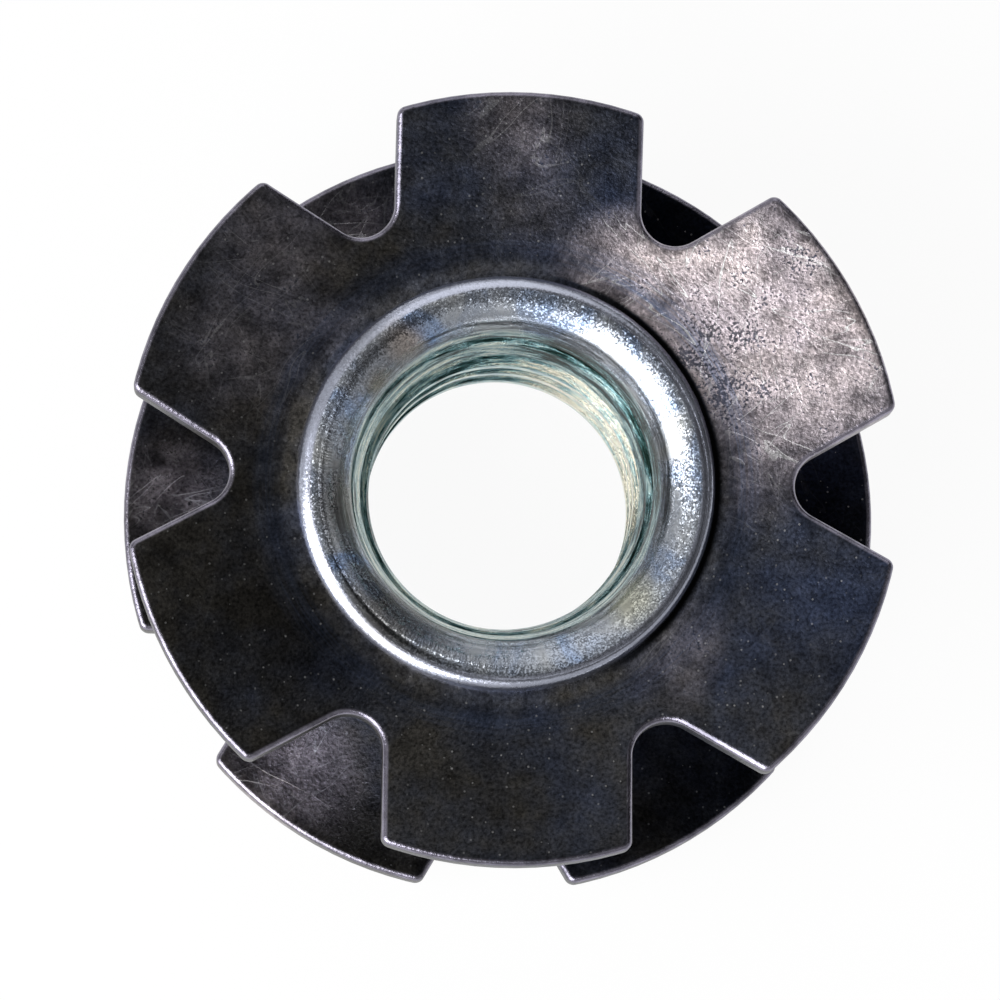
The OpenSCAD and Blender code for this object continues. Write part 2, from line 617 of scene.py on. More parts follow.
def add_node(owner, kind, settings=None, links=None):
    """Adds a node to a material or a world. A setting is a property or an input's value, and a
    link feeds an input."""
    node = owner.node_tree.nodes.new(kind)
    for name, value in (settings or {}).items():
        if isinstance(name, str) and hasattr(node, name):
            setattr(node, name, value)
        else:
            node.inputs[name].default_value = value
    for name, source in (links or {}).items():
        owner.node_tree.links.new(source, node.inputs[name])
    return node


def new_material(name):
    material = bpy.data.materials.new(name)
    material.use_nodes = True
    material.node_tree.nodes.clear()
    return material


print("middle grey in linear light:", round(linear("#808080")[0], 3))

# %% [markdown]
# Both finishes are laid out from the same four values: the place in millimetres, its part
# across the bore, the distance from the axis and the way from it.
# Soft spots, sides and ramps are needed more than once too, so each is a helper of its own.
# A soft spot is a ball round a place on the part, strong in its middle and nothing at its reach.
# A side is all that lies one way from the axis, and its mask rises as the surface turns there.

# %% Helpers for laying out a finish
def coordinates_in_mm(material):
    """The place, its part across the bore, the radius and the way from the axis."""
    place = add_node(material, "ShaderNodeTexCoord").outputs["Object"]
    place_mm = add_node(material, "ShaderNodeVectorMath", {"operation": "SCALE", "Scale": 1 / MM},
                        {0: place}).outputs[0]
    flat = add_node(material, "ShaderNodeVectorMath", {"operation": "MULTIPLY", 1: (1, 1, 0)},
                    {0: place_mm}).outputs[0]
    radius = add_node(material, "ShaderNodeVectorMath", {"operation": "LENGTH"}, {0: flat})
    way = add_node(material, "ShaderNodeVectorMath", {"operation": "NORMALIZE"}, {0: flat})
    return place_mm, flat, radius.outputs["Value"], way.outputs[0]


def soft_spots(material, place_mm, spots, core=0.0):
    """Masks, one for each spot with its x, y and z, its reach in millimetres and its amount."""
    masks = []
    for x, y, z, reach, amount in spots:
        away = add_node(material, "ShaderNodeVectorMath", {"operation": "DISTANCE", 1: (x, y, z)},
                        {0: place_mm}).outputs["Value"]
        masks.append(add_node(material, "ShaderNodeMapRange", {
            "interpolation_type": "SMOOTHSTEP", "From Min": core * reach, "From Max": reach,
            "To Min": amount, "To Max": 0.0}, {"Value": away}).outputs[0])
    return masks


def facing(owner, direction, way, low, high):
    """A mask that rises as a direction turns to a way, between the cosines low and high."""
    turned_to = add_node(owner, "ShaderNodeVectorMath", {"operation": "DOT_PRODUCT", 1: way},
                         {0: direction}).outputs["Value"]
    return add_node(owner, "ShaderNodeMapRange", {
        "interpolation_type": "SMOOTHSTEP", "From Min": low, "From Max": high},
        {"Value": turned_to}).outputs[0]


def lay_bands(ramp, bands):
    """Lays colours along a colour ramp, which comes with a first and a last band."""
    elements = ramp.color_ramp.elements
    elements[0].position, elements[1].position = bands[0][0], bands[-1][0]
    for position, _ in bands[1:-1]:
        elements.new(position)
    for element, (_, colour) in zip(elements, bands):
        element.color = linear(colour)


# A noise seldom leaves 0.3 to 0.7, so that span is stretched to the one that a finish needs.
NOISE_SPAN = {"From Min": 0.3, "From Max": 0.7}

# %% [markdown]
# ### Blackened spring steel
# The stars are hardened spring steel with a thin black oxide, which is a conversion of the
# surface and no paint. So the eye sees dark metal with a soft sheen, a fine grain from the
# rolled strip, and patches of blue, grey and brown where the bath took differently.
# Where the stars rub against each other in a drum, the oxide wears off to brighter bare metal,
# with fine scratches running every way and dark pits that the rubbing didn't reach.
# The pattern is built in layers from coarse to fine, each with its real size in millimetres.

# %% Steel: clouds, blooms, grain and pits
steel = new_material("blackened_spring_steel")
steel_mm, _, radius, direction = coordinates_in_mm(steel)

# Each noise has its size in millimetres, its detail and its roughness.
STEEL_NOISES = {
    "cloud": (3.2, 4.0, 0.6),
    "bloom": (0.9, 5.0, 0.65),
    "grain": (0.11, 2.0, 0.6),
    "pits": (0.1, 3.0, 0.7),
}
noise = {}
for name, (size_mm, detail, roughness) in STEEL_NOISES.items():
    noise[name] = add_node(steel, "ShaderNodeTexNoise", {
        "Scale": 1 / size_mm, "Detail": detail, "Roughness": roughness},
        {"Vector": steel_mm}).outputs["Fac"]
    print("steel", name, "in mm:", size_mm)

# %% Steel: how strong each noise is in each use
STEEL_SPANS = {
    "oxide blooms": ("bloom", 0.7, 1.35),
    "oxide grain": ("grain", 0.45, 1.55),
    "metal blooms": ("bloom", 0.45, 1.5),
    "metal grain": ("grain", 0.55, 1.4),
    "gloss": ("bloom", 0.3, 0.42),
}
span = {}
for name, (pattern, low, high) in STEEL_SPANS.items():
    span[name] = add_node(steel, "ShaderNodeMapRange", {
        **NOISE_SPAN, "To Min": low, "To Max": high}, {"Value": noise[pattern]}).outputs[0]
print("uses of the noises:", len(span))

# %% [markdown]
# The hub, the bend and the rim were each touched by other tools, at other distances from the axis, and a
# painted shadow lies in a ring beside the lip. So the steel is laid out in rings by the radius.
# A ring's mask rises from 0 to 1 between two radii in millimetres, inwards or outwards.
# They could be painted by hand on the mesh, but then they would be no finer than its points.

# %% Steel: rings by the radius
STEEL_RINGS = {
    "clear of the lip": (6.75, 6.85),
    "beside the lip": (7.3, 6.9),
    # The darkening ring is the painted shadow beside the lip.
    "darkening": (6.95, 6.7),
    "bend starts": (6.9, 7.5),
    "bend ends": (8.3, 7.5),
}
ring = {}
for name, (low, high) in STEEL_RINGS.items():
    ring[name] = add_node(steel, "ShaderNodeMapRange", {
        "interpolation_type": "SMOOTHSTEP", "From Min": low, "From Max": high},
        {"Value": radius}).outputs[0]
bend_ring = add_node(steel, "ShaderNodeMath", {"operation": "MULTIPLY"},
                     {0: ring["bend starts"], 1: ring["bend ends"]}).outputs[0]
print("rings of the star:", len(ring))

# %% [markdown]
# The press tool slid over the bend and left fine streaks that run round the hub.
# A noise that turns with the direction from the axis and changes fast with the radius gives
# them. Rings of a wave texture would be closed circles, and a tool's streaks start and stop.

# %% Steel: streaks of the bend
STREAK_PER_MM = 7.0
STREAK_SCALE = 1.6

out_mm = add_node(steel, "ShaderNodeCombineXYZ", {}, {"Z": radius}).outputs[0]
streak_place = add_node(steel, "ShaderNodeVectorMath", {
    "operation": "MULTIPLY_ADD", 1: (0, 0, STREAK_PER_MM)}, {0: out_mm, 2: direction}).outputs[0]
streaks = add_node(steel, "ShaderNodeTexNoise", {
    "Scale": STREAK_SCALE, "Detail": 4.0, "Roughness": 0.65}, {"Vector": streak_place}).outputs["Fac"]
streaks = add_node(steel, "ShaderNodeMapRange", {"From Min": 0.4, "From Max": 0.65},
                   {"Value": streaks}).outputs[0]
rubbed = add_node(steel, "ShaderNodeMath", {"operation": "MULTIPLY"},
                  {0: bend_ring, 1: streaks}).outputs[0]
print("width of a streak in mm:", round(1 / (STREAK_PER_MM * STREAK_SCALE), 2))

# %% [markdown]
# The bath left one side bluer than the other: blue towards +X and +Y, warm grey away from it.
# A plain slope across the part, added to the clouds, moves the place on the colour ramp along.
# The bend is bluer than the rest, because the press tool rubbed it smooth before the bath.

# %% Steel: colours of the oxide
BLUE_WAY = Vector((0.8, 0.6, 0.0))
BLUE_PER_MM = 0.013
BEND_BLUER = 0.12
OXIDE_BANDS = ((0.32, "#3d3b38"), (0.5, "#3a3c43"), (0.74, "#353c4f"))

blue_side = add_node(steel, "ShaderNodeVectorMath", {
    "operation": "DOT_PRODUCT", 1: BLUE_WAY * BLUE_PER_MM}, {0: steel_mm}).outputs["Value"]
hue_place = add_node(steel, "ShaderNodeMath", {"operation": "ADD"},
                     {0: noise["cloud"], 1: blue_side}).outputs[0]
hue_place = add_node(steel, "ShaderNodeMath", {"operation": "MULTIPLY_ADD", 1: BEND_BLUER},
                     {0: bend_ring, 2: hue_place}).outputs[0]
ramp = add_node(steel, "ShaderNodeValToRGB", {}, {"Fac": hue_place})
lay_bands(ramp, OXIDE_BANDS)
oxide = ramp.outputs["Color"]
print("bands of the oxide:", len(ramp.color_ramp.elements))

# %% [markdown]
# Wear is local: it is placed as a few soft spots on the part.
# The spots add up, and the clouds and blooms break their outline.
# A spot with an amount below zero darkens the oxide instead. On the lower star these are painted shade
# on its right and upper right, and on the upper star they make the lower fangs darker.
# Wear by a curvature mask alone would be the same on all fangs, and on the real star it isn't.

# %% Steel: worn spots, and darker spots that are partly painted shade
# Each spot has its x, y and z, its reach in millimetres, and how much it is worn, or below zero how much
# darker it is.
WEAR_AND_SHADE_SPOTS = (
    (9.4, 4.8, 10.8, 5.4, 1.00),
    (7.6, 7.4, 11.2, 3.2, 0.60),
    (3.9, 6.4, 10.4, 3.0, 1.10),
    (6.0, 5.0, 10.2, 3.2, 1.40),
    (7.6, 1.4, 10.4, 3.2, 0.22),
    (0.2, 11.4, 11.0, 2.4, 0.20),
    (0.8, 8.8, 10.6, 2.4, 0.06),
    (-7.4, 7.6, 11.0, 3.0, 0.14),
    (-8.4, 4.0, 10.9, 3.4, 0.12),
    (-5.6, 4.8, 10.4, 2.0, 0.08),
    (5.6, -5.2, 10.8, 2.6, 0.12),
    (9.6, -6.4, 10.8, 4.0, -0.18),
    (0.0, -9.6, 10.8, 4.6, -0.40),
    (-6.6, -8.6, 2.0, 3.2, 0.58),
    (-10.6, 0.6, 2.0, 2.6, 0.34),
    (-5.0, 9.0, 2.0, 3.0, 0.34),
    # These three darken the lower star on its right and upper right: painted shade.
    (10.5, -1.0, 2.0, 8.0, -1.00),
    (5.5, 9.5, 2.0, 7.0, -1.00),
    (8.0, -9.0, 2.0, 7.0, -0.70),
    (-6.0, -5.0, 10.6, 4.6, -0.62),
)
wear_and_shade_sum, *more_spots = soft_spots(steel, steel_mm, WEAR_AND_SHADE_SPOTS)
for spot in more_spots:
    wear_and_shade_sum = add_node(steel, "ShaderNodeMath", {"operation": "ADD"},
                        {0: wear_and_shade_sum, 1: spot}).outputs[0]
print("worn spots:", sum(spot[-1] > 0 for spot in WEAR_AND_SHADE_SPOTS),
      "blacker spots:", sum(spot[-1] < 0 for spot in WEAR_AND_SHADE_SPOTS))

# %% Steel: how far the oxide is worn through
# Clouds and blooms add up to about 1, and make the wear up to a quarter weaker or stronger.
patchy = add_node(steel, "ShaderNodeMath", {"operation": "ADD"},
                  {0: noise["cloud"], 1: noise["bloom"]}).outputs[0]
patchy = add_node(steel, "ShaderNodeMapRange", {
    "From Min": 0.8, "From Max": 1.2, "To Min": 0.75, "To Max": 1.25}, {"Value": patchy}).outputs[0]
worn = add_node(steel, "ShaderNodeMath", {"operation": "MULTIPLY"}, {0: patchy, 1: wear_and_shade_sum})
worn.use_clamp = True
worn = add_node(steel, "ShaderNodeMath", {"operation": "MULTIPLY"},
                {0: worn.outputs[0], 1: ring["clear of the lip"]}).outputs[0]
print("steel nodes up to the wear:", len(steel.node_tree.nodes))

# %% Steel: how bright the oxide is
BLACKEST = 0.1
LIP_BRIGHTER = 1.1

# Below zero the spots darken the oxide: painted shade on the lower star, and darker lower fangs on the
# upper star.
darker_and_painted_shade = add_node(steel, "ShaderNodeMapRange", {
    "From Min": -1.0, "From Max": 0.0, "To Min": BLACKEST, "To Max": 1.0},
    {"Value": wear_and_shade_sum}).outputs[0]
by_lip = add_node(steel, "ShaderNodeMath", {"operation": "MULTIPLY_ADD", 1: LIP_BRIGHTER, 2: 1.0},
                  {0: ring["beside the lip"]}).outputs[0]
for factor in (span["oxide blooms"], darker_and_painted_shade, by_lip, span["oxide grain"]):
    oxide = add_node(steel, "ShaderNodeVectorMath", {"operation": "SCALE"},
                     {0: oxide, "Scale": factor}).outputs[0]
print("steel nodes up to the oxide:", len(steel.node_tree.nodes))

# %% [markdown]
# A scratch is a contour line of a noise that is stretched far along one direction.
# Contours stay thin and even however long they run, and they end where a second noise hides them.
# A slight bend of the coordinates keeps them from looking ruled.
# Two families are laid over each other: long ones from single knocks, and short fine hairlines.

# %% Steel: bent coordinates
BEND_MM = 1.6
BEND_SIZE_MM = 4.0

bend_noise = add_node(steel, "ShaderNodeTexNoise", {"Scale": 1 / BEND_SIZE_MM, "Detail": 1.0},
                      {"Vector": steel_mm}).outputs["Color"]
bent = add_node(steel, "ShaderNodeVectorMath", {
    "operation": "MULTIPLY_ADD", 1: (BEND_MM, BEND_MM, 0.0)},
    {0: bend_noise, 2: steel_mm}).outputs[0]
print("scratches bend by up to, in mm:", BEND_MM)

# %% Steel: scratches
# Each family has its directions in degrees, the length and the spacing of its lines in
# millimetres, half of a line's height on the noise, and the noise values where lines end and show.
KNOCKS = ((12, 49, 78, 118, 155), 4.0, 0.6, 0.007, 0.55, 0.63)
HAIRLINES = ((30, 66, 104, 141), 2.0, 0.2, 0.012, 0.54, 0.72)
HAIRLINE_SHARE = 0.5
LAYER_SHIFT = Vector((5.3, 2.9, 0.0))
LINE_LEVEL = 0.5


def scratch_layers(directions, length_mm, gap_mm, half, cover_low, cover_high):
    """The lines of one family, with one layer for each direction."""
    layers = []
    for layer, degrees in enumerate(directions):
        along = add_node(steel, "ShaderNodeMapping", {
            "vector_type": "TEXTURE", "Location": LAYER_SHIFT * layer,
            "Rotation": (0, 0, math.radians(degrees)),
            "Scale": (length_mm, gap_mm, length_mm)}, {"Vector": bent}).outputs[0]
        level = add_node(steel, "ShaderNodeTexNoise", {"Scale": 1.0, "Detail": 1.5},
                         {"Vector": along}).outputs["Fac"]
        line = add_node(steel, "ShaderNodeMath", {"operation": "COMPARE", 1: LINE_LEVEL, 2: half},
                        {0: level}).outputs[0]
        cover = add_node(steel, "ShaderNodeTexNoise", {"Scale": 0.55, "Detail": 2.0},
                         {"Vector": along}).outputs["Fac"]
        shown = add_node(steel, "ShaderNodeMapRange", {
            "From Min": cover_low, "From Max": cover_high}, {"Value": cover}).outputs[0]
        layers.append(add_node(steel, "ShaderNodeMath", {"operation": "MULTIPLY"},
                               {0: line, 1: shown}).outputs[0])
    found, *more_layers = layers
    for lines in more_layers:
        found = add_node(steel, "ShaderNodeMath", {"operation": "MAXIMUM"},
                         {0: found, 1: lines}).outputs[0]
    return found


scratches = add_node(steel, "ShaderNodeMath", {"operation": "MULTIPLY_ADD", 1: HAIRLINE_SHARE},
                     {0: scratch_layers(*HAIRLINES), 2: scratch_layers(*KNOCKS)})
scratches.use_clamp = True
scratches = scratches.outputs[0]
print("directions of the scratches:", sorted(KNOCKS[0] + HAIRLINES[0]))

# %% [markdown]
# The pits are what the rubbing left dark: clusters of small blots, most of them in one field.
# They are where a fine noise, helped by the blooms and by the field, passes a high mark.

# %% Steel: pits
PIT_FIELDS = ((6.9, 4.0, 10.8, 3.8, 0.13), (8.9, 7.2, 11.0, 1.8, 0.13))
PIT_BLOOM = 0.9
PIT_DARKNESS = 0.9

pit_field, *more_fields = soft_spots(steel, steel_mm, PIT_FIELDS)
for field in more_fields:
    pit_field = add_node(steel, "ShaderNodeMath", {"operation": "MAXIMUM"},
                         {0: pit_field, 1: field}).outputs[0]
pit_place = add_node(steel, "ShaderNodeMath", {"operation": "MULTIPLY_ADD", 1: PIT_BLOOM},
                     {0: noise["bloom"], 2: noise["pits"]}).outputs[0]
pit_place = add_node(steel, "ShaderNodeMath", {"operation": "ADD"},
                     {0: pit_place, 1: pit_field}).outputs[0]
pits = add_node(steel, "ShaderNodeMapRange", {"From Min": 1.1, "From Max": 1.17},
                {"Value": pit_place}).outputs[0]
worn_less = add_node(steel, "ShaderNodeMath", {"operation": "MULTIPLY_ADD", 1: -PIT_DARKNESS, 2: 1.0},
                     {0: pits}).outputs[0]
worn = add_node(steel, "ShaderNodeMath", {"operation": "MULTIPLY"}, {0: worn, 1: worn_less}).outputs[0]
print("fields of pits:", len(PIT_FIELDS))

# %% [markdown]
# The specks are single bright grains, as dust or crystals that catch the light.
# They are Voronoi cells: a point is lit if it is near a cell's middle and the cell was drawn.
# A noise with a high threshold would give blots of all sizes, and the grains are all alike.

# %% Steel: specks
SPECK_GAP_MM = 0.22
SPECK_MM = 0.035
SPECK_SHARE = 0.2

cells = add_node(steel, "ShaderNodeTexVoronoi", {"Scale": 1 / SPECK_GAP_MM}, {"Vector": steel_mm})
drawn = add_node(steel, "ShaderNodeSeparateXYZ", {}, {0: cells.outputs["Color"]}).outputs["X"]
drawn = add_node(steel, "ShaderNodeMapRange", {"From Min": 0.6, "From Max": 0.95},
                 {"Value": drawn}).outputs[0]
near = add_node(steel, "ShaderNodeMath", {"operation": "LESS_THAN", 1: SPECK_MM / SPECK_GAP_MM},
                {0: cells.outputs["Distance"]}).outputs[0]
specks = add_node(steel, "ShaderNodeMath", {"operation": "MULTIPLY"}, {0: near, 1: drawn}).outputs[0]
speck_share = add_node(steel, "ShaderNodeMath", {"operation": "MULTIPLY", 1: SPECK_SHARE},
                       {0: specks}).outputs[0]
print("a speck is this wide, in mm:", 2 * SPECK_MM)

# %% [markdown]
# Now the layers are laid over each other in the order in which they came about: the oxide,
# the bare metal where it is worn through, the streaks of the bend, and the bright marks.
# Each is a Mix node whose factor is the layer's mask. Scratches and streaks show most where
# the oxide is thin, so their masks grow with the wear.

# %% Steel: bare metal and oxide
bare = add_node(steel, "ShaderNodeMix", {
    "data_type": "RGBA", 6: linear("#bfb5c5"), 7: linear("#e0d1cb")}, {0: noise["cloud"]}).outputs[2]
for factor in (span["metal blooms"], span["metal grain"]):
    bare = add_node(steel, "ShaderNodeVectorMath", {"operation": "SCALE"},
                    {0: bare, "Scale": factor}).outputs[0]
metal = add_node(steel, "ShaderNodeMix", {"data_type": "RGBA"}, {0: worn, 6: oxide, 7: bare}).outputs[2]
print("steel nodes up to the bare metal:", len(steel.node_tree.nodes))

# %% Steel: streaks, scratches and specks on top
# Each layer has its mask, its share where the steel is worn, and its share elsewhere.
shares = []
for mask, share, least in ((rubbed, 0.7, 0.05), (scratches, 0.8, 0.01)):
    factor = add_node(steel, "ShaderNodeMath", {"operation": "MULTIPLY_ADD", 1: share, 2: least},
                      {0: worn}).outputs[0]
    shares.append(add_node(steel, "ShaderNodeMath", {"operation": "MULTIPLY"},
                           {0: factor, 1: mask}).outputs[0])
rubbed_share, scratch_share = shares
bright_share = add_node(steel, "ShaderNodeMath", {"operation": "MAXIMUM"},
                        {0: scratch_share, 1: speck_share}).outputs[0]
for factor, colour in ((rubbed_share, "#8fa6d2"), (bright_share, "#ffffff")):
    metal = add_node(steel, "ShaderNodeMix", {"data_type": "RGBA", 7: linear(colour)},
                     {0: factor, 6: metal}).outputs[2]
print("steel nodes up to the specks:", len(steel.node_tree.nodes))

# %% [markdown]
# The lip throws a shadow on the steel beside it, on one side more than on the other, and that shadow is
# painted into the colour as a thin black arc, so the lip stands out against it. The burnished edge is
# bare steel that the punch has polished, under what is left of the oxide. It is smoother than the flat
# faces, so it shows the lamp as a thin line.

# %% Steel: painted shadow beside the lip
LIP_SHADOW_WAY = Vector((1.0, 0.1, 0.0)).normalized()
LIP_SHADOW_COSINES = (0.1, 0.7)

lip_shadow_side = facing(steel, direction, LIP_SHADOW_WAY, *LIP_SHADOW_COSINES)
darkening = add_node(steel, "ShaderNodeMath", {"operation": "MULTIPLY"},
                {0: ring["darkening"], 1: lip_shadow_side}).outputs[0]
# Painted shadow: on that side, the ring beside the lip is mixed towards black.
metal = add_node(steel, "ShaderNodeMix", {"data_type": "RGBA", 7: linear("#0a0a0b")},
                 {0: darkening, 6: metal}).outputs[2]
print("dirt lies within, in mm from the axis:", STEEL_RINGS["darkening"][0])

# %% Steel: burnished edge
edge = add_node(steel, "ShaderNodeAttribute", {"attribute_name": "burnished"}).outputs["Fac"]
edge_share = add_node(steel, "ShaderNodeMapRange", {
    "From Min": 0.35, "From Max": 0.65, "To Min": 0.35, "To Max": 0.95},
    {"Value": noise["bloom"]}).outputs[0]
edge_share = add_node(steel, "ShaderNodeMath", {"operation": "MULTIPLY"},
                      {0: edge_share, 1: edge}).outputs[0]
metal = add_node(steel, "ShaderNodeMix", {"data_type": "RGBA", 7: linear("#9a96a6")},
                 {0: edge_share, 6: metal}).outputs[2]
print("steel nodes up to the edge:", len(steel.node_tree.nodes))

# %% [markdown]
# Oxide on rolled steel is neither a mirror nor matt: its roughness drifts round a third.
# The relief is a hundredth of a millimetre deep. Grain and pits stand in it as they are, and
# scratches are cut in below zero. A bump is enough for them, because nothing so shallow shows
# in the outline.

# %% Steel: gloss and relief
STEEL_RELIEF_MM = 0.012
PIT_RELIEF = 0.8
SCRATCH_RELIEF = -0.5
EDGE_ROUGHNESS = 0.24

gloss = add_node(steel, "ShaderNodeMix", {"data_type": "FLOAT", 3: EDGE_ROUGHNESS},
                 {0: edge, 2: span["gloss"]}).outputs[0]
relief = noise["grain"]
for pattern, depth in ((noise["pits"], PIT_RELIEF), (scratch_share, SCRATCH_RELIEF)):
    relief = add_node(steel, "ShaderNodeMath", {"operation": "MULTIPLY_ADD", 1: depth},
                      {0: pattern, 2: relief}).outputs[0]
bump = add_node(steel, "ShaderNodeBump", {"Strength": 1.0, "Distance": STEEL_RELIEF_MM * MM},
                {"Height": relief}).outputs[0]
shader = add_node(steel, "ShaderNodeBsdfPrincipled", {"Metallic": 1.0}, {
    "Base Color": metal, "Roughness": gloss, "Normal": bump})
add_node(steel, "ShaderNodeOutputMaterial", {}, {"Surface": shader.outputs["BSDF"]})
for piece in (star, lower_star):
    piece.data.materials.clear()
    piece.data.materials.append(steel)
print("nodes in the steel:", len(steel.node_tree.nodes))

# %% [markdown]
# ### Zinc plated steel
# The barrel is plated with bright zinc and dipped in a passivation bath.
# The eye sees a cool silver with a sandy sparkle, tinted blue, straw and green like oil on
# water. Below the plating lie the marks of the tools, and each tool worked at its own distance
# from the axis. So the material is laid out in zones by the radius, which fade into each other.
# An image wrapped round the barrel would need a seam, and zones by the radius need none.

# %% Zinc: zones
zinc = new_material("zinc_plated_steel")
zinc_mm, flat, radius, direction = coordinates_in_mm(zinc)
height = add_node(zinc, "ShaderNodeSeparateXYZ", {}, {0: zinc_mm}).outputs["Z"]

# A zone's mask rises from 0 to 1 between two radii in millimetres, inwards or outwards.
ZONE_EDGES = {
    "bore": (5.0, 4.85),
    "thread": (4.65, 4.5),
    "throat": (5.35, 5.15),
    "trumpet": (5.75, 5.4),
    "drag_start": (5.45, 5.65),
    "drag_end": (5.95, 5.8),
    "bead": (6.1, 6.2),
}
zone = {}
for name, (low, high) in ZONE_EDGES.items():
    zone[name] = add_node(zinc, "ShaderNodeMapRange", {
        "interpolation_type": "SMOOTHSTEP", "From Min": low, "From Max": high},
        {"Value": radius}).outputs[0]
print("zones of the barrel:", sorted(zone))

# %% Zinc: sides
# A side's mask rises round a direction: first the way, then the cosines where it rises.
SIDES = {
    "drag": ((-0.85, -0.53, 0), 0.2, 0.8),
    "lamp": ((0.87, 0.5, 0), 0.35, 0.85),
}
side = {name: facing(zinc, direction, *limits) for name, limits in SIDES.items()}
print("sides of the barrel:", sorted(side))

# %% [markdown]
# The punch dragged the plating outwards, which leaves short radial marks inside the crease.
# The drill and the tap left rings in the bore. Both are one noise with unequal scales: many
# steps round the axis and few outwards make radial marks, the other way round makes rings.
# Bands of a wave texture would be too even for either.

# %% Zinc: drag marks and rings
# Each has its steps for a radian round the axis, its steps for a millimetre outwards, its detail
# and its roughness. The drag marks come out about 0.1 mm wide in the trumpet.
TOOL_MARKS = {
    "drag": (60.0, 2.5, 3.0, 0.6),
    "rings": (2.5, 7.5, 5.0, 0.75),
}
DEPTH_SHARE = 0.25

outwards = add_node(zinc, "ShaderNodeMath", {"operation": "MULTIPLY_ADD", 1: DEPTH_SHARE},
                    {0: height, 2: radius}).outputs[0]
outwards = add_node(zinc, "ShaderNodeCombineXYZ", {}, {"Z": outwards}).outputs[0]
tool_mark = {}
for name, (per_radian, per_mm, detail, roughness) in TOOL_MARKS.items():
    round_place = add_node(zinc, "ShaderNodeVectorMath", {"operation": "SCALE", "Scale": per_radian},
                           {0: direction}).outputs[0]
    mark_place = add_node(zinc, "ShaderNodeVectorMath", {
        "operation": "MULTIPLY_ADD", 1: (0, 0, per_mm)}, {0: outwards, 2: round_place}).outputs[0]
    tool_mark[name] = add_node(zinc, "ShaderNodeTexNoise", {
        "Scale": 1.0, "Detail": detail, "Roughness": roughness}, {"Vector": mark_place}).outputs["Fac"]
    print(name, "steps in a whole turn:", round(2 * math.pi * per_radian))

# %% [markdown]
# The crease is a circle whose middle moved with the punch. Its line is made darker, on the left and on
# the right more than at the top. The darkness follows the direction: the more it points sideways or
# down, the darker it is.
# A line drawn along the crease on the mesh would have to be redone whenever the punch moves,
# and here the middle of the circle is the same value that moved the punch.

# %% Zinc: the line of the crease
CREASE_EDGES = ((5.9, 6.05), (6.2, 6.1))

from_punch = add_node(zinc, "ShaderNodeVectorMath", {"operation": "DISTANCE", 1: punch_slide / MM},
                      {0: flat}).outputs["Value"]
inner_side, outer_side = [add_node(zinc, "ShaderNodeMapRange", {
    "interpolation_type": "SMOOTHSTEP", "From Min": low, "From Max": high},
    {"Value": from_punch}).outputs[0] for low, high in CREASE_EDGES]
crease_line = add_node(zinc, "ShaderNodeMath", {"operation": "MULTIPLY"},
                       {0: inner_side, 1: outer_side}).outputs[0]
print("width of the crease in mm:", round(CREASE_EDGES[1][0] - CREASE_EDGES[0][0], 2))

# %% Zinc: darker line in the crease
DOWN_DIMMING = 0.25
SIDE_DIMMING = 0.5

points_to = add_node(zinc, "ShaderNodeSeparateXYZ", {}, {0: direction})
sideways = add_node(zinc, "ShaderNodeMath", {"operation": "ABSOLUTE"},
                    {0: points_to.outputs["X"]}).outputs[0]
crease_dimming = add_node(zinc, "ShaderNodeMath", {
    "operation": "MULTIPLY_ADD", 1: -DOWN_DIMMING, 2: DOWN_DIMMING}, {0: points_to.outputs["Y"]}).outputs[0]
crease_dimming = add_node(zinc, "ShaderNodeMath", {"operation": "MULTIPLY_ADD", 1: SIDE_DIMMING},
                 {0: sideways, 2: crease_dimming}).outputs[0]
crease_dimming = add_node(zinc, "ShaderNodeMath", {"operation": "MULTIPLY"},
                 {0: crease_line, 1: crease_dimming}).outputs[0]
crease_shade = add_node(zinc, "ShaderNodeMath", {"operation": "SUBTRACT", 0: 1.0},
                        {1: crease_dimming}).outputs[0]
print("most dirt in the crease:", round(DOWN_DIMMING + math.hypot(SIDE_DIMMING, DOWN_DIMMING), 2))

# %% [markdown]
# The passivation film tints the zinc as oil tints water. On the trumpet it drifts between
# blue and silver in clouds, and the bead is a plain cool silver.
# A colour ramp over a noise of the clouds' real size gives the drift.

# %% Zinc: tints of the trumpet and the bead
ZINC_CLOUD_MM = 1.6
FILM_BANDS = ((0.32, "#9fb6dc"), (0.5, "#b7bfcd"), (0.75, "#c6c8c9"))

zinc_cloud = add_node(zinc, "ShaderNodeTexNoise", {
    "Scale": 1 / ZINC_CLOUD_MM, "Detail": 3.0, "Distortion": 0.6}, {"Vector": zinc_mm}).outputs["Fac"]
ramp = add_node(zinc, "ShaderNodeValToRGB", {}, {"Fac": zinc_cloud})
lay_bands(ramp, FILM_BANDS)
tint = add_node(zinc, "ShaderNodeMix", {"data_type": "RGBA", 7: linear("#cdd2e4")},
                {0: zone["bead"], 6: ramp.outputs["Color"]}).outputs[2]
print("clouds of the film in mm:", ZINC_CLOUD_MM)

# %% [markdown]
# In the bore the rings carry the colour: dark green in the grooves, teal on their walls and cream on the
# crests. On the side that faces the lamp, the deep turns get a painted highlight, and the throat above
# them is made darker. So the ramp's place is moved up for the one and down for the other.

# %% Zinc: painted highlight on the deep turns, darker throat
# Heights in millimetres: the turns get the painted highlight below the first, and are darker above the
# second.
DEPTH_EDGES = ((8.6, 7.4), (7.6, 8.8))

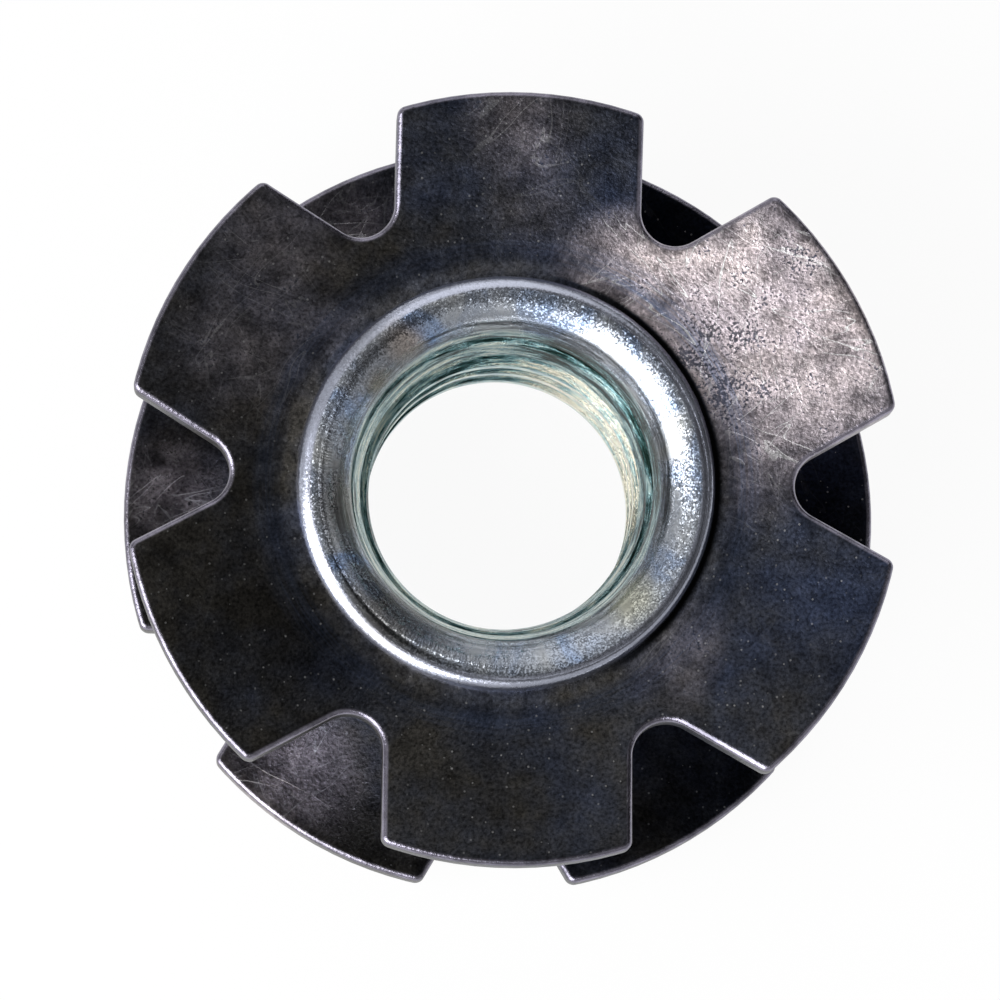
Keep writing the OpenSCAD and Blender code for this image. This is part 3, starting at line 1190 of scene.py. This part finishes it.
deep, shallow = [add_node(zinc, "ShaderNodeMapRange", {
    "interpolation_type": "SMOOTHSTEP", "From Min": low, "From Max": high},
    {"Value": height}).outputs[0] for low, high in DEPTH_EDGES]
highlit, lamp_side_darker = [add_node(zinc, "ShaderNodeMath", {"operation": "MULTIPLY"},
                           {0: side["lamp"], 1: depth}).outputs[0] for depth in (deep, shallow)]
highlit = add_node(zinc, "ShaderNodeMath", {"operation": "MULTIPLY"},
                 {0: highlit, 1: zone["thread"]}).outputs[0]
print("turns are clean below, in mm:", DEPTH_EDGES[0][0])

# %% Zinc: tints of the bore
HIGHLIGHT_SHIFT = 0.16
LAMP_SIDE_SHIFT = -0.1
BORE_BANDS = ((0.35, "#16241f"), (0.43, "#3f605f"), (0.5, "#88aab0"), (0.58, "#bccfca"),
              (0.72, "#ece7d4"))

bore_lines = add_node(zinc, "ShaderNodeMapRange", {
    "From Min": 0.38, "From Max": 0.6, "To Min": 0.36, "To Max": 0.66},
    {"Value": tool_mark["rings"]}).outputs[0]
# On the lamp side the deep turns move towards cream as a painted highlight, and the upper turns move
# towards dark.
for mask, shift in ((highlit, HIGHLIGHT_SHIFT), (lamp_side_darker, LAMP_SIDE_SHIFT)):
    bore_lines = add_node(zinc, "ShaderNodeMath", {"operation": "MULTIPLY_ADD", 1: shift},
                          {0: mask, 2: bore_lines}).outputs[0]
ramp = add_node(zinc, "ShaderNodeValToRGB", {}, {"Fac": bore_lines})
lay_bands(ramp, BORE_BANDS)
tint = add_node(zinc, "ShaderNodeMix", {"data_type": "RGBA"},
                {0: zone["bore"], 6: tint, 7: ramp.outputs["Color"]}).outputs[2]
print("bands of the bore:", len(ramp.color_ramp.elements))

# %% [markdown]
# Round the throat the tap's chips cut fine dark rings into the start of the trumpet.
# They are the same rings as in the bore, used as a shade between two brightnesses, so the
# lines run on from one zone into the other.

# %% Zinc: rings round the throat
LAMP_SIDE_DARKNESS = 0.6

ring_shade = add_node(zinc, "ShaderNodeMapRange", {
    "From Min": 0.4, "From Max": 0.6, "To Min": 0.25, "To Max": 1.3},
    {"Value": tool_mark["rings"]}).outputs[0]
# On the side that faces the lamp, the throat's rings are made darker still.
lamp_side_dimming = add_node(zinc, "ShaderNodeMath", {
    "operation": "MULTIPLY_ADD", 1: -LAMP_SIDE_DARKNESS, 2: 1.0}, {0: lamp_side_darker}).outputs[0]
ring_shade = add_node(zinc, "ShaderNodeMath", {"operation": "MULTIPLY"},
                      {0: ring_shade, 1: lamp_side_dimming}).outputs[0]
round_throat = add_node(zinc, "ShaderNodeMath", {"operation": "SUBTRACT"},
                        {0: zone["throat"], 1: zone["bore"]}).outputs[0]
ring_shade = add_node(zinc, "ShaderNodeMix", {"data_type": "FLOAT", 2: 1.0},
                      {0: round_throat, 3: ring_shade}).outputs[0]
tint = add_node(zinc, "ShaderNodeVectorMath", {"operation": "SCALE"},
                {0: tint, "Scale": ring_shade}).outputs[0]
print("zinc nodes up to the rings:", len(zinc.node_tree.nodes))

# %% [markdown]
# A few stains of the bath stand out from the clouds: straw, peach and olive where the film is thicker,
# and a dull grey where drips ran off. They are laid as soft spots at the height of the trumpet, so that
# they don't run down through the bore as stripes.

# %% Zinc: stains
# Each stain has its x and y, its reach in millimetres, how strong it is, and its colour.
STAINS = (
    (-3.8, 2.9, 0.9, 0.8, "#a8913f"),
    (-3.3, 4.3, 1.0, 0.55, "#cdb08f"),
    (-4.6, 1.6, 0.8, 0.5, "#8d8a52"),
    (3.9, -3.5, 1.3, 0.7, "#d2d1b8"),
    (-3.4, -4.2, 2.6, 0.8, "#6d6a66"),
    (-4.9, -0.6, 1.8, 0.7, "#7d786f"),
    (-3.9, 3.6, 2.0, 0.6, "#87888c"),
)
STAIN_CORE = 0.2
STAIN_HEIGHT = 10.9

stain_spots = [(x, y, STAIN_HEIGHT, reach, strength) for x, y, reach, strength, _ in STAINS]
for share, stain in zip(soft_spots(zinc, zinc_mm, stain_spots, STAIN_CORE), STAINS):
    tint = add_node(zinc, "ShaderNodeMix", {"data_type": "RGBA", 7: linear(stain[-1])},
                    {0: share, 6: tint}).outputs[2]
print("stains:", len(STAINS))

# %% [markdown]
# The sparkle comes from fine crystals of zinc that tilt the surface this way and that, so one
# grain shows the lamp and its neighbour the dark card. Each Voronoi cell is a crystal here, and
# its random colour becomes a tilt of the normal. The cells are larger than real crystals, which
# would be too fine to show. Where the punch ironed the crystals flat, the sparkle is weaker:
# in patches of the trumpet, on the bead and in the bore.

# %% Zinc: where the crystals stand
IRONED_BEAD = 0.85
IRONED_BORE = 0.9
IRONED_MOST = 0.85

ironed = add_node(zinc, "ShaderNodeMapRange", {
    "interpolation_type": "SMOOTHSTEP", "From Min": 0.5, "From Max": 0.64},
    {"Value": zinc_cloud}).outputs[0]
ironed = add_node(zinc, "ShaderNodeMath", {"operation": "MULTIPLY"},
                  {0: ironed, 1: zone["trumpet"]}).outputs[0]
for mask, amount in ((zone["bead"], IRONED_BEAD), (zone["bore"], IRONED_BORE)):
    pressed = add_node(zinc, "ShaderNodeMath", {"operation": "MULTIPLY", 1: amount},
                       {0: mask}).outputs[0]
    ironed = add_node(zinc, "ShaderNodeMath", {"operation": "MAXIMUM"},
                      {0: ironed, 1: pressed}).outputs[0]
sandy = add_node(zinc, "ShaderNodeMath", {"operation": "MULTIPLY_ADD", 1: -IRONED_MOST, 2: 1.0},
                 {0: ironed}).outputs[0]
print("least sparkle:", round(1 - IRONED_MOST, 2))

# %% Zinc: tilt of the crystals
CRYSTAL_MM = 0.045
CRYSTAL_TILT = 0.36

crystals = add_node(zinc, "ShaderNodeTexVoronoi", {"Scale": 1 / CRYSTAL_MM},
                    {"Vector": zinc_mm}).outputs["Color"]
tilt = add_node(zinc, "ShaderNodeVectorMath", {"operation": "SUBTRACT", 1: (0.5, 0.5, 0.5)},
                {0: crystals}).outputs[0]
tilt_size = add_node(zinc, "ShaderNodeMath", {"operation": "MULTIPLY", 1: CRYSTAL_TILT},
                     {0: sandy}).outputs[0]
tilt = add_node(zinc, "ShaderNodeVectorMath", {"operation": "SCALE"},
                {0: tilt, "Scale": tilt_size}).outputs[0]
shape = add_node(zinc, "ShaderNodeNewGeometry").outputs["Normal"]
tilt = add_node(zinc, "ShaderNodeVectorMath", {"operation": "ADD"}, {0: tilt, 1: shape}).outputs[0]
facets = add_node(zinc, "ShaderNodeVectorMath", {"operation": "NORMALIZE"}, {0: tilt}).outputs[0]
print("crystals across one millimetre:", round(1 / CRYSTAL_MM))

# %% Zinc: colour of the crystals
FLECK_DARK = 0.55
FLECK_BRIGHT = 1.3

one_way = add_node(zinc, "ShaderNodeSeparateXYZ", {}, {0: crystals}).outputs["X"]
fleck = add_node(zinc, "ShaderNodeMapRange", {"To Min": FLECK_DARK, "To Max": FLECK_BRIGHT},
                 {"Value": one_way}).outputs[0]
fleck = add_node(zinc, "ShaderNodeMix", {"data_type": "FLOAT", 2: 1.0},
                 {0: sandy, 3: fleck}).outputs[0]
for factor in (fleck, crease_shade):
    tint = add_node(zinc, "ShaderNodeVectorMath", {"operation": "SCALE"},
                    {0: tint, "Scale": factor}).outputs[0]
print("zinc nodes up to the crystals:", len(zinc.node_tree.nodes))

# %% [markdown]
# The relief adds what the tools cut: the drag marks on their side of the trumpet, and the
# rings, deep in the throat and barely there elsewhere. The bump works on the tilted normal of
# the crystals, so both show together. The gloss drifts a little with the clouds of the film.

# %% Zinc: relief of the tool marks
RINGS_ELSEWHERE = 0.08
DRAG_HEIGHT = 2.0
RING_HEIGHT = 2.4

drag_relief = tool_mark["drag"]
for mask in (zone["drag_start"], zone["drag_end"], side["drag"]):
    drag_relief = add_node(zinc, "ShaderNodeMath", {"operation": "MULTIPLY"},
                           {0: drag_relief, 1: mask}).outputs[0]
cut_rings = add_node(zinc, "ShaderNodeMath", {"operation": "MAXIMUM", 1: RINGS_ELSEWHERE},
                     {0: zone["throat"]}).outputs[0]
cut_rings = add_node(zinc, "ShaderNodeMath", {"operation": "MULTIPLY"},
                     {0: tool_mark["rings"], 1: cut_rings}).outputs[0]
cut_rings = add_node(zinc, "ShaderNodeMath", {"operation": "MULTIPLY", 1: RING_HEIGHT},
                     {0: cut_rings}).outputs[0]
relief = add_node(zinc, "ShaderNodeMath", {"operation": "MULTIPLY_ADD", 1: DRAG_HEIGHT},
                  {0: drag_relief, 2: cut_rings}).outputs[0]
print("rings elsewhere have this share of their height:", RINGS_ELSEWHERE)

# %% Zinc: gloss and shader
ZINC_RELIEF_MM = 0.04

bump = add_node(zinc, "ShaderNodeBump", {"Strength": 1.0, "Distance": ZINC_RELIEF_MM * MM},
                {"Height": relief, "Normal": facets}).outputs[0]
gloss = add_node(zinc, "ShaderNodeMapRange", {**NOISE_SPAN, "To Min": 0.2, "To Max": 0.3},
                 {"Value": zinc_cloud}).outputs[0]
shader = add_node(zinc, "ShaderNodeBsdfPrincipled", {"Metallic": 1.0}, {
    "Base Color": tint, "Roughness": gloss, "Normal": bump})
add_node(zinc, "ShaderNodeOutputMaterial", {}, {"Surface": shader.outputs["BSDF"]})
barrel.data.materials.clear()
barrel.data.materials.append(zinc)
print("nodes in the zinc:", len(zinc.node_tree.nodes))

# %% [markdown]
# ## The studio
# The nut lies on white paper that curves up at its far rim, as it does in a small studio.
# A flat plane would end in a visible edge, and would mirror as a hard line in the metal.
# The floor is an outline on the same lathe as the barrel: a straight run and then an arc.

# %% Floor with an upturned rim
FLOOR_R = 350 * MM
SWEEP_R = 200 * MM
SWEEP_DEGREES = 50
SWEEP_ARC_STEPS = 10
SWEEP_STEPS = 96

sweep = [(0, 0)] + arc((FLOOR_R, SWEEP_R), SWEEP_R, -90, SWEEP_DEGREES - 90, SWEEP_ARC_STEPS)
floor = draw_outline(sweep, "floor", closed=False)
lathe(floor, SWEEP_STEPS)
print("floor height at its rim in mm:", round(floor.dimensions.z / MM, 1))

# %% [markdown]
# White paper lit only by the lamp would come out grey, and more light would burn out the metal.
# So the paper glows by itself, but only for rays that end in the camera, or that reach it over
# metal or through glass. For all other light it is plain matt paper, and it adds nothing to
# what falls on the nut. A small share stays matt for the camera too, which keeps the shadow.

# %% White paper
GLOW_SHARE = 0.94

paper = new_material("white_paper_floor")
path = add_node(paper, "ShaderNodeLightPath")
seen = path.outputs["Is Camera Ray"]
for ray in ("Is Glossy Ray", "Is Transmission Ray"):
    seen = add_node(paper, "ShaderNodeMath", {"operation": "MAXIMUM"},
                    {0: seen, 1: path.outputs[ray]}).outputs[0]
glow_share = add_node(paper, "ShaderNodeMath", {"operation": "MULTIPLY", 1: GLOW_SHARE},
                      {0: seen}).outputs[0]
matt = add_node(paper, "ShaderNodeBsdfDiffuse", {"Color": linear("#f2f2f2")})
glow = add_node(paper, "ShaderNodeEmission", {"Strength": 1.0})
mix = add_node(paper, "ShaderNodeMixShader", {}, {
    0: glow_share, 1: matt.outputs[0], 2: glow.outputs[0]})
add_node(paper, "ShaderNodeOutputMaterial", {}, {"Surface": mix.outputs[0]})
floor.data.materials.append(paper)
print("nodes in the paper:", len(paper.node_tree.nodes))

# %% [markdown]
# One large soft lamp stands at the lower left, and makes the bright edges and the highlight in
# the trumpet. Metal shows the lamp itself, so its size matters as much as its power: a small
# lamp would be a hard dot. Its place and width are given as angles seen from the nut, which can
# be read off a highlight, and its power follows from its brightness and its area.

# %% Key lamp
def soft_lamp(name, azimuth, off_axis, distance, width, radiance):
    """A square lamp that faces the nut, placed by angles in degrees from the bore's axis."""
    data = bpy.data.lights.new(name, "AREA")
    data.shape = "SQUARE"
    data.size = 2 * distance * math.tan(math.radians(width / 2))
    data.energy = radiance * math.pi * data.size ** 2
    lamp = bpy.data.objects.new(name, data)
    bpy.context.scene.collection.objects.link(lamp)
    around, down = math.radians(azimuth), math.radians(off_axis)
    way = Vector((math.cos(around) * math.sin(down), math.sin(around) * math.sin(down), math.cos(down)))
    lamp.location = upper_hub + way * distance
    lamp.rotation_euler = (-way).to_track_quat("-Z", "Y").to_euler()
    print(name, "power in watts:", round(data.energy, 3), "size in mm:", round(data.size / MM))


soft_lamp("key_lamp", azimuth=215, off_axis=54, distance=300 * MM, width=54, radiance=5.2)

# %% [markdown]
# The world stands for the walls of a light tent. It is pale all round, darker overhead where the
# camera looks in. A tall black card stands on the upper right and keeps the metal's contrast:
# it covers a slice of directions round its own, from overhead down to the floor.
# A soft bright panel leans over the top, and lights the near side of the trumpet.
# Walls, card and panel could be built as objects, but as directions in the world they need
# no room and throw no shadows of their own.

# %% World: tent
TENT = 0.42
OVERHEAD = 0.07
OVERHEAD_COSINES = (0.985, 0.89)

world = bpy.data.worlds.new("light_tent")
world.use_nodes = True
way = add_node(world, "ShaderNodeTexCoord").outputs["Generated"]
overhead = add_node(world, "ShaderNodeSeparateXYZ", {}, {0: way}).outputs["Z"]
light = add_node(world, "ShaderNodeMapRange", {
    "interpolation_type": "SMOOTHSTEP", "From Min": OVERHEAD_COSINES[0],
    "From Max": OVERHEAD_COSINES[1], "To Min": OVERHEAD, "To Max": TENT},
    {"Value": overhead}).outputs[0]
print("tent brightness:", TENT, "overhead:", OVERHEAD)

# %% World: card and panel
CARD = 0.04
PANEL = 0.6
CARD_WAY = Vector((0.75, 0.66, 0.0)).normalized()
CARD_COSINES = (0.7, 0.92)
PANEL_WAY = Vector((0.0, 0.72, 0.69)).normalized()
PANEL_COSINES = (0.85, 0.96)

level = add_node(world, "ShaderNodeVectorMath", {"operation": "MULTIPLY", 1: (1, 1, 0)},
                 {0: way}).outputs[0]
level = add_node(world, "ShaderNodeVectorMath", {"operation": "NORMALIZE"}, {0: level}).outputs[0]
card = facing(world, level, CARD_WAY, *CARD_COSINES)
light = add_node(world, "ShaderNodeMix", {"data_type": "FLOAT", 3: CARD}, {0: card, 2: light}).outputs[0]
panel = facing(world, way, PANEL_WAY, *PANEL_COSINES)
light = add_node(world, "ShaderNodeMath", {"operation": "MULTIPLY_ADD", 1: PANEL},
                 {0: panel, 2: light}).outputs[0]
for name, cosines in (("card", CARD_COSINES), ("panel", PANEL_COSINES)):
    print(name, "reaches, in degrees:", round(math.degrees(math.acos(cosines[0]))))

# %% World: into the scene
background = world.node_tree.nodes["Background"]
world.node_tree.links.new(light, background.inputs["Strength"])
background.inputs["Color"].default_value = (1, 1, 1, 1)
bpy.context.scene.world = world
bpy.context.scene.view_settings.view_transform = "Standard"
print("nodes in the world:", len(world.node_tree.nodes))
